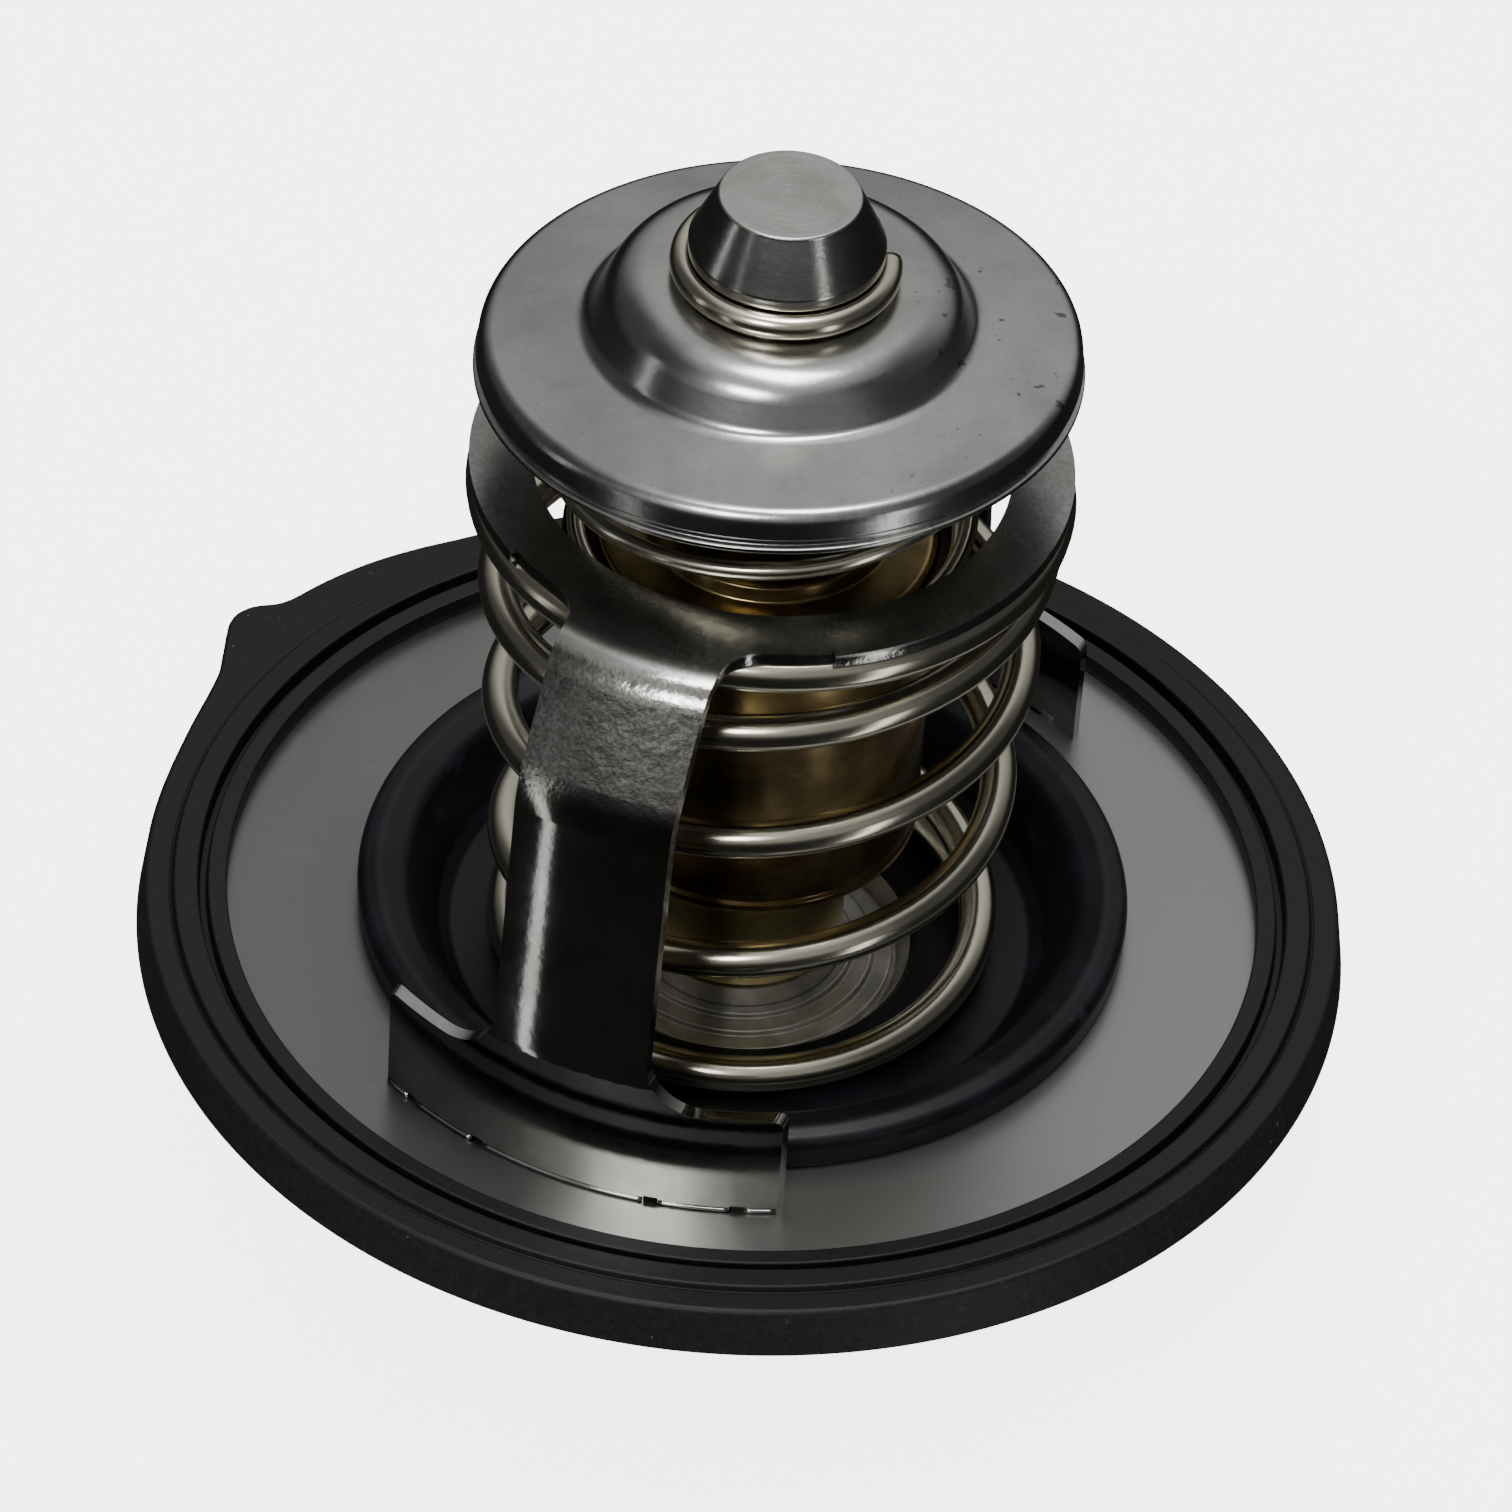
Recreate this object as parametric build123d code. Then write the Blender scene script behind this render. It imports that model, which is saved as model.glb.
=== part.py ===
from build123d import *
import os
from math import cos, sin, radians, degrees, sqrt, hypot, atan2, pi

# Engine thermostat of the insert kind, engine side up.  Millimetres.
# Z is the axis of the valve.  Z = 0 is the lower sealing face of the gasket,
# which sits on the counterbore of the housing.
# The parts stack upwards: gasket and flange, valve, main spring, spring frame,
# wax element, bypass stem, bypass valve and snap ring.
os.makedirs("parts", exist_ok=True)

# ---- driving dimensions ----------------------------------------------------
port_diameter = 38.0
flange_thickness = 1.0
flange_grip = 3.3
flange_land = 3.9
fit_clearance = 0.1

gasket_width = 5.2
gasket_height = 3.6
gasket_rib = 0.15
gasket_step = 0.3
gasket_groove = 0.9
gasket_draft = 0.65

ear_azimuth = 145.8
ear_reach = 3.0
ear_tip_radius = 1.4
ear_root_width = 6.4
ear_blend = 3.0

valve_overlap = 2.2
valve_lip_height = 2.2
valve_plate_thickness = 0.7
valve_seat_drop = 1.8
valve_skin = 0.35
centre_drop = 1.1
centre_margin = 0.6
collar_wall = 0.8
collar_height = 2.2
hub_radius = 8.5
hub_lip = 0.6
hub_sheet = 0.3

frame_azimuth = -110.7
frame_sheet = 0.75
frame_height = 31.6
ring_bore = 25.4
ring_width = 3.3
leg_width = 8.7
leg_lean = 1.6
leg_shoulder_reach = 2.0
leg_slope_height = 7.4
shoulder_bend = 2.8
knee_bend = 6.0
ankle_bend = 6.0
foot_clearance = 2.45
foot_half_angle = 27.8
foot_height = 6.6
foot_fillet = 3.2
relief_cusp_angle = 35.0
relief_depth = 0.35
relief_fillet = 2.6
tab_centre_angle = 17.3
tab_width = 3.8
tab_notch = 0.8
tab_notch_height = 0.4
clinch_reach = 1.6

spring_wire = 2.0
spring_seat_radius = 13.0
spring_turns = 3.6
spring_start = -98.0

element_diameter = 18.4
element_standoff = 7.5
element_recess = 4.4
element_wall = 1.0
element_crown = 1.2
element_shoulder = 0.9
neck_height = 0.8
spigot_radius = 3.0
spigot_length = 1.2
guide_diameter = 9.8
guide_flange = 0.9
crimp_height = 2.4
seal_wall = 2.2
seal_thickness = 1.0
sleeve_wall = 1.4
guide_reach = 5.3
piston_diameter = 4.0
piston_clearance = 0.05
piston_depth = 9.0
sleeve_gap = 0.4
sleeve_flange = 1.2

bridge_sheet = 1.2
bridge_width = 9.0
bridge_foot_margin = 2.2
seat_depth = 0.4
bridge_depth = 13.3
bridge_seat_radius = 6.0

stem_diameter = 10.3
stem_shoulder = 1.15
stem_cone_height = 3.0
stem_tip_diameter = 7.4
groove_depth = 0.55
snap_wire = 1.4
snap_gap = 3.0
snap_azimuth = 22.0

bypass_diameter = 32.0
bypass_sheet = 1.0
bypass_height = 12.45
bypass_dome_height = 2.9
bypass_cone_drop = 0.8
bypass_rim_drop = 1.2
bypass_collar = 3.2
bypass_clearance = 0.08
bypass_wire = 1.0
bypass_turns = 2.0
bypass_start = -105.0
washer_width = 1.7
washer_thickness = 0.7
washer_drop = 0.6

# ---- derived places --------------------------------------------------------
mid_plane = gasket_height / 2
flange_top = mid_plane + flange_thickness / 2
flange_bottom = mid_plane - flange_thickness / 2
port_radius = port_diameter / 2
valve_radius = port_radius + valve_overlap
foot_inner = valve_radius + foot_clearance
foot_radius = foot_inner + frame_sheet
leg_radius = foot_radius - leg_lean
lip_in = foot_radius + flange_land
flange_radius = lip_in + flange_grip
gasket_radius = lip_in + gasket_width
frame_top = flange_top + frame_height
ring_under = frame_top - frame_sheet
ring_radius = ring_bore / 2 + ring_width
leg_shoulder = ring_radius + leg_shoulder_reach
leg_knee = frame_top - leg_slope_height
spring_top_radius = ring_radius - spring_wire / 2 + 0.2
element_bottom = flange_top + element_standoff
element_top = frame_top - element_recess
element_radius = element_diameter / 2
guide_radius = guide_diameter / 2
guide_bottom = flange_bottom - guide_reach
piston_radius = piston_diameter / 2
centre_radius = hub_radius + centre_margin
hub_in = guide_radius + collar_wall
hub_step = (hub_radius - hub_in - hub_lip) / 2
bridge_low = flange_bottom - bridge_depth
bridge_knee = port_radius + 2.4
bridge_foot_reach = foot_radius + bridge_foot_margin
stem_radius = stem_diameter / 2
neck_radius = stem_radius + stem_shoulder
neck_top = element_top + neck_height
groove_radius = stem_radius - groove_depth
bypass_crown = frame_top + bypass_height
bypass_radius = bypass_diameter / 2
bypass_seat_radius = element_radius + washer_width - bypass_wire / 2 - 0.2
washer_top = element_top - washer_drop
bypass_top_radius = ring_bore / 2 - bypass_wire / 2 - 0.55
frame_turn = Rot(0, 0, frame_azimuth)


def polygon(points):
    """Closed face in the XZ plane from (radius, height) pairs."""
    line = Polyline(*[(r, 0, z) for r, z in points], close=True)
    return make_face(line)


def turned(points):
    """Solid of revolution about Z from (radius, height) pairs."""
    return revolve(polygon(points), Axis.Z)


def ring(outer, inner, low, high):
    return turned([(inner, low), (outer, low), (outer, high), (inner, high)])


def band(points, thickness, radius):
    """Face of bent sheet in the XZ plane: its first side follows the points,
    the second lies one thickness to the left of the direction of travel."""
    path = FilletPolyline(*[(r, 0, z) for r, z in points], radius=radius)
    edges = path.edges()
    near = []
    far = []
    for e in edges:
        kind = e.geom_type
        steps = [0.0, 1.0] if kind == GeomType.LINE else [0.0, 0.5, 1.0]
        base = [e @ s for s in steps]
        side = []
        for s in steps:
            t = e % s
            side.append(e @ s + Vector(-t.Z, 0, t.X) * thickness)
        near.append(base)
        far.append(side)
    lines = []
    for run in near:
        lines.append(Line(run[0], run[1]) if len(run) == 2 else ThreePointArc(*run))
    lines.append(Line(near[-1][-1], far[-1][-1]))
    for run in reversed(far):
        back = run[::-1]
        lines.append(Line(back[0], back[1]) if len(back) == 2 else ThreePointArc(*back))
    lines.append(Line(far[0][0], near[0][0]))
    return make_face(lines)


def soften(face, r, z, size):
    spot = face.vertices().filter_by(lambda v: hypot(v.X - r, v.Z - z) < 0.01)
    return fillet(spot, size)


def save(node, name):
    node.label = name
    export_step(node, "parts/" + name + ".step")
    print(name, len(node.solids()), round(node.volume, 1))


# ---- gasket: rubber ring of U section with a locating ear ------------------
half = gasket_height / 2
wall_top = gasket_radius - gasket_draft
top_side = [
    (lip_in, half - gasket_rib - 0.2),
    (lip_in + 0.2, half - gasket_rib),
    (lip_in + 0.85, half - gasket_rib),
    (lip_in + 1.05, half - gasket_rib - 0.2),
    (lip_in + 1.1, half - gasket_groove),
    (lip_in + 1.5, half - gasket_groove),
    (lip_in + 1.55, half),
    (lip_in + 2.9, half),
    (lip_in + 3.05, half - gasket_step),
]
rim = [
    (wall_top - 0.15, half - gasket_step),
    (wall_top, half - gasket_step - 0.15),
    (gasket_radius, gasket_step + 0.15 - half),
    (gasket_radius - 0.15, gasket_step - half),
]
under_side = [(r, -z) for r, z in reversed(top_side)]
gasket_section = [(r, z + mid_plane) for r, z in top_side + rim + under_side]
gasket_ring = turned(gasket_section)
ear_low = gasket_step
ear_high = gasket_height - gasket_step
ear_tip = wall_top + ear_reach - ear_tip_radius
ear_disc = Pos(ear_tip, 0) * Circle(ear_tip_radius)
ear_root = Pos(wall_top - 1.0, 0) * Rectangle(0.4, ear_root_width)
ear_face = make_hull([*ear_disc.edges(), *ear_root.edges()])
ear_plan = Circle(wall_top) + ear_face
on_rim = ear_plan.vertices().filter_by(lambda v: abs(hypot(v.X, v.Y) - wall_top) < 0.02)
ear_plan = fillet(on_rim.filter_by(lambda v: abs(v.Y) > 1), ear_blend)
ear_face = ear_plan - Circle(wall_top - 0.8)
ear = Pos(0, 0, ear_low) * extrude(ear_face, ear_high - ear_low)
ear = Rot(0, 0, ear_azimuth) * ear
slot = ring(flange_radius, lip_in - 1, flange_bottom, flange_top)
gasket = gasket_ring + ear - slot
save(gasket, "gasket")

# ---- flange plate with its port and the slots of the clinched tabs ---------
flange = ring(flange_radius, port_radius, flange_bottom, flange_top)


def tab_boxes(width, low, high, inner, outer):
    """Two tabs on each of the two feet, as short arcs of a thin wall."""
    wall = ring(outer, inner, low, high)
    made = None
    for foot in (0, 180):
        for side in (-1, 1):
            turn = Rot(0, 0, frame_azimuth + foot + side * tab_centre_angle)
            mask = Pos(foot_radius, 0, (low + high) / 2) * Box(16, width, high - low + 2)
            piece = wall & (turn * mask)
            made = piece if made is None else made + piece
    return made


tab_slot = tab_boxes(
    tab_width + 2 * fit_clearance,
    flange_bottom - 2,
    flange_top + 1,
    foot_inner - fit_clearance,
    foot_radius + fit_clearance,
)
flange = flange - tab_slot
save(flange, "flange_plate")

# ---- spring frame: one pressing, ring, two legs and two feet ---------------
profile = band(
    [
        (ring_bore / 2, frame_top),
        (leg_shoulder + 0.8, frame_top),
        (leg_radius, leg_knee + 0.5),
        (foot_radius, flange_top + foot_height + 1.6),
        (foot_radius, flange_top),
    ],
    -frame_sheet,
    [shoulder_bend, knee_bend, ankle_bend],
)
shell = revolve(profile, Axis.Z)
cusp_x = 40 * cos(radians(relief_cusp_angle))
cusp_y = 40 * sin(radians(relief_cusp_angle))
relief_radius = ring_radius - relief_depth
plan = Circle(ring_radius)
for side in (-1, 1):
    plan = plan - make_face(Polyline((0, 0), (side * cusp_x, cusp_y), (side * cusp_x, -cusp_y), close=True))
plan = plan + Circle(relief_radius) + Rectangle(2 * foot_radius + 8, leg_width)
at_leg = plan.vertices().filter_by(lambda v: abs(abs(v.Y) - leg_width / 2) < 0.01)
plan = fillet(at_leg.filter_by(lambda v: abs(v.X) < ring_radius), relief_fillet)
mask_split = (foot_height + flange_top + leg_knee) / 2
upper_mask = Pos(0, 0, mask_split) * extrude(plan, frame_top - mask_split + 2)
foot_half = foot_radius * sin(radians(foot_half_angle))
foot_top = flange_top + foot_height
foot_face = Rectangle(2 * foot_half, foot_height, align=(Align.CENTER, Align.MIN))
leg_rise = mask_split - flange_top + 1
leg_face = Rectangle(leg_width, leg_rise, align=(Align.CENTER, Align.MIN))
outline = Pos(0, flange_top) * foot_face + Pos(0, flange_top) * leg_face
corners = outline.vertices().filter_by(lambda v: abs(v.Y - foot_top) < 0.01)
inner_corners = corners.filter_by(lambda v: abs(abs(v.X) - leg_width / 2) < 0.01)
outline = fillet(inner_corners, foot_fillet)
corners = outline.vertices().filter_by(lambda v: abs(abs(v.X) - foot_half) < 0.01)
outline = fillet(corners.filter_by(lambda v: v.Y > flange_top + 1), 0.5)
notch_places = []
for side in (-1, 1):
    centre = foot_radius * sin(radians(side * tab_centre_angle))
    for edge in (-1, 1):
        shift = edge * (tab_width + tab_notch) / 2 * cos(radians(tab_centre_angle))
        notch_places.append(centre + shift)
for place in notch_places:
    notch = Rectangle(tab_notch, 2 * tab_notch_height)
    outline = outline - Pos(place, flange_top) * notch
lower_mask = Plane.YZ * extrude(outline, 40, both=True)
frame_blank = (shell & upper_mask) + (shell & lower_mask)
spring_frame = frame_turn * frame_blank
tabs = tab_boxes(tab_width, flange_bottom - bridge_sheet, flange_top + 1, foot_inner, foot_radius)
clinch_low = flange_bottom - bridge_sheet - frame_sheet * 0.8
clinch = tab_boxes(
    tab_width,
    clinch_low,
    flange_bottom - bridge_sheet,
    foot_inner,
    foot_radius + clinch_reach,
)
spring_frame = spring_frame + tabs + clinch
save(spring_frame, "spring_frame")

# ---- piston bridge: stamped arch under the flange --------------------------
bridge_top = flange_bottom
arch = band(
    [
        (0, bridge_low),
        (bridge_seat_radius, bridge_low),
        (bridge_knee, bridge_top - bridge_sheet),
        (bridge_foot_reach, bridge_top - bridge_sheet),
    ],
    bridge_sheet,
    2.0,
)
arm = extrude(arch, bridge_width / 2, both=True, dir=(0, 1, 0))
foot_plate = ring(bridge_foot_reach, bridge_knee + 1.2, bridge_top - bridge_sheet, bridge_top)
foot_mask = Pos(bridge_foot_reach, 0, 0) * Box(20, 2 * foot_half + 1.2, 8)
foot_plate = foot_plate & foot_mask
half_bridge = arm + foot_plate
bridge = half_bridge + Rot(0, 0, 180) * half_bridge
bridge = frame_turn * bridge - tab_slot
seat_pocket = Pos(0, 0, bridge_low + bridge_sheet - seat_depth / 2) * Cylinder(
    piston_radius + piston_clearance, seat_depth
)
bridge = bridge - seat_pocket
save(bridge, "piston_bridge")

# ---- piston ----------------------------------------------------------------
piston_low = bridge_low + bridge_sheet - seat_depth
piston_top = element_bottom + piston_depth
piston = turned([
    (0, piston_low),
    (piston_radius - 0.3, piston_low),
    (piston_radius, piston_low + 0.3),
    (piston_radius, piston_top - 1.2),
    (piston_radius - 0.8, piston_top),
    (0, piston_top),
])
save(piston, "piston")

# ---- valve: dished steel plate under moulded rubber ------------------------
plate_high = flange_top + valve_lip_height - 1.15
plate_low = plate_high - valve_plate_thickness
dish_high = flange_top - valve_seat_drop - valve_skin - 0.25
dish_low = dish_high - valve_plate_thickness
dish_radius = port_radius - 2.0
plate_rim = valve_radius - 1.0
slope = 1.6
collar_bore = guide_radius
centre_high = dish_high - centre_drop
centre_low = dish_low - centre_drop
collar_top = centre_high + collar_height
valve_plate = turned([
    (collar_bore, centre_low),
    (centre_radius, centre_low),
    (centre_radius + 0.7, dish_low),
    (dish_radius, dish_low),
    (dish_radius + slope, plate_low),
    (plate_rim, plate_low),
    (plate_rim, plate_high),
    (dish_radius + slope - 0.4, plate_high),
    (dish_radius - 0.4, dish_high),
    (centre_radius + 0.3, dish_high),
    (centre_radius - 0.4, centre_high),
    (collar_bore + collar_wall + 0.5, centre_high),
    (collar_bore + collar_wall, centre_high + 0.5),
    (collar_bore + collar_wall, collar_top),
    (collar_bore, collar_top),
])
save(valve_plate, "valve_plate")

rubber_inner = spring_seat_radius - spring_wire / 2 - 1.4
rubber_seat = flange_top - valve_seat_drop
lip_top = flange_top + valve_lip_height
under_skin = dish_low - valve_skin
rubber = turned([
    (rubber_inner, under_skin),
    (dish_radius + 0.1, under_skin),
    (dish_radius + 0.5, under_skin + 0.2),
    (dish_radius + slope + 0.15, flange_top),
    (valve_radius - 0.1, flange_top),
    (valve_radius, flange_top + 0.2),
    (valve_radius, lip_top - 0.5),
    (valve_radius - 0.5, lip_top - 0.05),
    (valve_radius - 1.4, lip_top),
    (valve_radius - 2.2, lip_top - 0.15),
    (valve_radius - 3.0, lip_top - 0.7),
    (valve_radius - 4.6, rubber_seat + 0.5),
    (valve_radius - 5.2, rubber_seat),
    (rubber_inner, rubber_seat),
])
rubber = rubber - turned([
    (rubber_inner - 1, dish_low),
    (dish_radius, dish_low),
    (dish_radius + slope, plate_low),
    (plate_rim, plate_low),
    (plate_rim, plate_high),
    (dish_radius + slope - 0.4, plate_high),
    (dish_radius - 0.4, dish_high),
    (rubber_inner - 1, dish_high),
])
save(rubber, "valve_rubber")

hub = turned([
    (hub_in, centre_high + 0.5),
    (hub_in + 0.5, centre_high),
    (hub_radius, centre_high),
    (hub_radius, centre_high + hub_sheet),
    (hub_radius - hub_step, centre_high + hub_sheet),
    (hub_radius - hub_step, centre_high + 2 * hub_sheet),
    (hub_radius - 2 * hub_step, centre_high + 2 * hub_sheet),
    (hub_radius - 2 * hub_step, centre_high + 3 * hub_sheet),
    (hub_in, centre_high + 3 * hub_sheet),
])
save(hub, "valve_hub")

# ---- wax element -----------------------------------------------------------
guide_bore = piston_radius + piston_clearance
crimp_high = element_bottom + crimp_height
seal_radius = guide_bore + seal_wall
guide = turned([
    (guide_bore, guide_bottom),
    (guide_radius - 1.6, guide_bottom),
    (guide_radius - 1.2, centre_low - guide_flange),
    (guide_radius + guide_flange, centre_low - guide_flange),
    (guide_radius + guide_flange, centre_low),
    (guide_radius, centre_low),
    (guide_radius, element_bottom),
    (guide_radius, element_bottom + element_wall),
    (element_radius - element_wall, element_bottom + element_wall),
    (element_radius - element_wall, crimp_high),
    (seal_radius, crimp_high),
    (seal_radius, crimp_high - seal_thickness),
    (guide_bore, crimp_high - seal_thickness),
])
save(guide, "element_guide")

case_bore = element_radius - element_wall
wax_top = element_top - element_crown
case_face = polygon([
    (guide_radius, element_bottom),
    (element_radius, element_bottom),
    (element_radius, element_top),
    (neck_radius, element_top),
    (neck_radius, neck_top),
    (spigot_radius, neck_top),
    (spigot_radius, neck_top - spigot_length),
    (0, neck_top - spigot_length),
    (0, wax_top),
    (case_bore - 0.8, wax_top),
    (case_bore, wax_top - 0.8),
    (case_bore, element_bottom + element_wall),
    (guide_radius, element_bottom + element_wall),
])
case_face = soften(case_face, element_radius, element_bottom, 0.6)
case_face = soften(case_face, element_radius, element_top, element_shoulder)
case_face = soften(case_face, neck_radius, neck_top, 0.25)
case = revolve(case_face, Axis.Z)
save(case, "element_case")

seal = ring(seal_radius, guide_bore, crimp_high - seal_thickness, crimp_high)
save(seal, "piston_seal")

sleeve_top = piston_top + sleeve_gap
sleeve_high = sleeve_top + sleeve_wall
sleeve = turned([
    (guide_bore, crimp_high),
    (case_bore, crimp_high),
    (case_bore, crimp_high + sleeve_flange),
    (guide_bore + sleeve_wall, crimp_high + sleeve_flange),
    (guide_bore + sleeve_wall, sleeve_high - 1.0),
    (guide_bore + sleeve_wall - 1.0, sleeve_high),
    (0, sleeve_high),
    (0, sleeve_top),
    (guide_bore, sleeve_top),
])
save(sleeve, "element_sleeve")

wax = turned([
    (guide_bore + sleeve_wall, crimp_high + sleeve_flange),
    (case_bore, crimp_high + sleeve_flange),
    (case_bore, wax_top - 0.8),
    (case_bore - 0.8, wax_top),
    (0, wax_top),
    (0, sleeve_high),
    (guide_bore + sleeve_wall - 1.0, sleeve_high),
    (guide_bore + sleeve_wall, sleeve_high - 1.0),
])
save(wax, "wax_charge")

# ---- bypass stem, its spigot pressed into the crown of the case ------------
groove_low = bypass_crown + 0.02
groove_high = groove_low + snap_wire + 0.1
cone_low = groove_high + 0.7
stem_top = cone_low + stem_cone_height
stem = turned([
    (0, neck_top - spigot_length),
    (spigot_radius, neck_top - spigot_length),
    (spigot_radius, neck_top),
    (stem_radius, neck_top),
    (stem_radius, groove_low),
    (groove_radius, groove_low),
    (groove_radius, groove_high),
    (stem_radius, groove_high),
    (stem_radius, cone_low),
    (stem_tip_diameter / 2, stem_top),
    (0, stem_top),
])
save(stem, "bypass_stem")

bypass_seat = ring(
    element_radius + washer_width, element_radius, washer_top - washer_thickness, washer_top
)
save(bypass_seat, "bypass_seat")

# ---- snap ring: round wire with a gap --------------------------------------
snap_centre = groove_radius + fit_clearance / 2 + snap_wire / 2
snap_z = groove_low + 0.05 + snap_wire / 2
snap_section = Plane.XZ * Pos(snap_centre, snap_z) * Circle(snap_wire / 2)
snap_open = degrees(snap_gap / snap_centre)
snap = revolve(snap_section, Axis.Z, 360 - snap_open)
snap = Rot(0, 0, snap_azimuth + snap_open / 2) * snap
save(snap, "snap_ring")

# ---- bypass valve: domed pressing on the stem ------------------------------
bore = stem_radius + bypass_clearance
t = bypass_sheet
cone_top = bypass_crown - bypass_dome_height
bend_z = cone_top - bypass_cone_drop
rim_z = bend_z - bypass_rim_drop
shoulder_r = stem_radius + 3.45
dome_r = stem_radius + 4.85
bend_r = bypass_radius - 1.4
disc_face = polygon([
    (bore, bypass_crown - t - bypass_collar),
    (bore, bypass_crown),
    (shoulder_r, bypass_crown),
    (dome_r, cone_top),
    (bend_r, bend_z),
    (bypass_radius, bend_z - 0.55),
    (bypass_radius, rim_z),
    (bypass_radius - t, rim_z),
    (bypass_radius - t, bend_z - 0.8),
    (bend_r - 0.2, bend_z - 0.55 * t),
    (dome_r - 0.1, cone_top - t),
    (dome_r - 0.7 * t, cone_top - t),
    (shoulder_r - 0.8 * t, bypass_crown - t),
    (bore + t, bypass_crown - t),
    (bore + t, bypass_crown - t - bypass_collar),
])
disc_face = soften(disc_face, bore, bypass_crown, 0.45)
disc_face = soften(disc_face, shoulder_r, bypass_crown, 1.5)
disc_face = soften(disc_face, dome_r, cone_top, 0.7)
disc_face = soften(disc_face, bend_r, bend_z, 0.8)
disc_face = soften(disc_face, bypass_radius, bend_z - 0.55, 0.4)
valve_disc = revolve(disc_face, Axis.Z)
save(valve_disc, "bypass_valve")


# ---- springs ---------------------------------------------------------------
def conical_spring(wire, low, high, r_low, r_high, turns, start):
    """Compression spring with a closed flat coil at each end."""
    rise = high - low
    active = Helix(rise / turns, rise, r_low, cone_angle=degrees(atan2(r_high - r_low, rise)))
    begin = Rot(0, 0, start)
    finish = Rot(0, 0, start + 360 * (turns % 1))
    lower = Pos(0, 0, low) * begin * make_coil(wire, r_low, -1)
    upper = Pos(0, 0, high) * finish * make_coil(wire, r_high, 1)
    path = active
    section = Plane(origin=path @ 0, z_dir=path % 0) * Circle(wire / 2)
    helix = sweep(section, path=path, is_frenet=True)
    return (Pos(0, 0, low) * begin * helix), lower, upper


def make_coil(wire, radius, way):
    arc = 270
    section = Plane.XZ * Pos(radius, 0) * Circle(wire / 2)
    coil = revolve(section, Axis.Z, arc)
    if way < 0:
        coil = Rot(0, 0, -arc) * coil
    return coil


spring_low = rubber_seat + spring_wire / 2
spring_high = ring_under - spring_wire / 2
parts_main = conical_spring(
    spring_wire, spring_low, spring_high, spring_seat_radius, spring_top_radius, spring_turns, spring_start
)
main_spring = parts_main[0] + parts_main[1] + parts_main[2]
save(main_spring, "main_spring")

bypass_low = washer_top + bypass_wire / 2
under_share = (bend_r - bypass_top_radius) / (bend_r - dome_r)
bypass_high = bend_z - t + bypass_cone_drop * under_share - bypass_wire / 2 - 0.1
parts_bypass = conical_spring(
    bypass_wire, bypass_low, bypass_high, bypass_seat_radius, bypass_top_radius, bypass_turns, bypass_start
)
bypass_spring = parts_bypass[0] + parts_bypass[1] + parts_bypass[2]
save(bypass_spring, "bypass_spring")
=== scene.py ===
# %% [markdown]
# A wax thermostat for an engine. The solid parts come ready-made, in metres, with
# Z along the axis of the valve. This lesson dresses them: it turns smooth rings,
# winds the two springs, mixes the metals and rubbers, and sets up a small studio.
# Every new piece rides on one of the ready bodies, so that the joints still move it.

# %% Load the finished solids
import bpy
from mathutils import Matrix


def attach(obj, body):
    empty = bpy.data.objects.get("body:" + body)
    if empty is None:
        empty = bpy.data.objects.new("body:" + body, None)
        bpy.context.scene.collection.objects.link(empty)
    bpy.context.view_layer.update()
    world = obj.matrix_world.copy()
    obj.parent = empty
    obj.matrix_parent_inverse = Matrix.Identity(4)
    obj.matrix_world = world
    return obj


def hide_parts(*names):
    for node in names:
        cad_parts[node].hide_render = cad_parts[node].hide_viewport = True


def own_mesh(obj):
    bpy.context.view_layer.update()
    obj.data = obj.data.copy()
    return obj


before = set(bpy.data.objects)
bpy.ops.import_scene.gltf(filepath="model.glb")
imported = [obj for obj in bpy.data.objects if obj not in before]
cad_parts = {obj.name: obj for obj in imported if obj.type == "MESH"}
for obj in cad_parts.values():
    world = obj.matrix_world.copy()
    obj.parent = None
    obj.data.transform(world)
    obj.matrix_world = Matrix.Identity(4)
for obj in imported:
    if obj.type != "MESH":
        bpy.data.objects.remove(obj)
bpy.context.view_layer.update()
print("nodes:", sorted(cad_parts))

# %% [markdown]
# Every size below is written in millimetres, as on a drawing, and turned to
# metres only when a mesh is made. With 192 steps round a ring, the edge of the
# widest disc still looks round in a close view.

# %% Units and libraries
from math import atan2, cos, pi, radians, sin, tan
import bmesh
import bpy
from mathutils import Matrix, Vector

MM = 0.001
ROUND_STEPS = 192
print("steps round a ring:", ROUND_STEPS)

# %% [markdown]
# Most of the part is turned or pressed round one axis, so a drawn outline spun
# about Z gives the truest surface. A real edge is never sharp: each corner of the
# outline carries a small radius. Blender could bevel the finished mesh instead, but
# then every edge would get the same width. Two extra points beside each arc keep
# the flats flat when the surface is shaded smooth.

# %% Round the corners of an outline
ARC_GUARD = 0.03
LONGEST_SHARE = 0.46


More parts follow.
